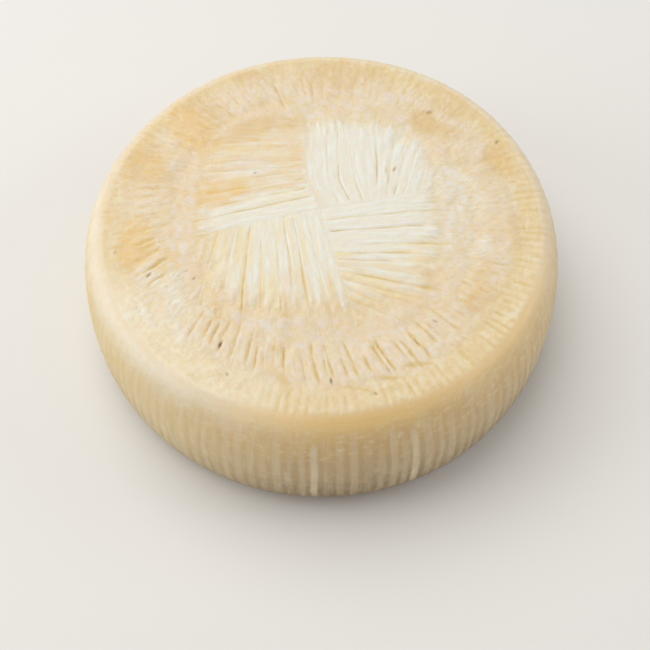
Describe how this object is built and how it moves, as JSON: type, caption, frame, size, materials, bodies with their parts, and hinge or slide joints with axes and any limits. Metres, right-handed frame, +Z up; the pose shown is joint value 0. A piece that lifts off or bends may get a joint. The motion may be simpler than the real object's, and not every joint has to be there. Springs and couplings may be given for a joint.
{
  "type": "semi-aged goat cheese wheel",
  "caption": "Whole low drum-shaped cheese wheel with rounded shoulders, a pinwheel of moulded strands on each face, a ring of pleats and a finely fluted side.",
  "frame": {"origin": "centre of the wheel's footprint, on the surface it stands on", "axes": "+Z up along the wheel's axis, -Y towards the side that faces the camera, +X to its right"},
  "size_m": [0.2186, 0.2214, 0.063],
  "materials": {
    "cheese_rind": "waxy cream and tan cheese rind, satin on the side and shoulder, with a dull pale bloom on the top"
  },
  "bodies": {
    "root": {"cheese_wheel": "cheese_rind"}
  },
  "joints": []
}
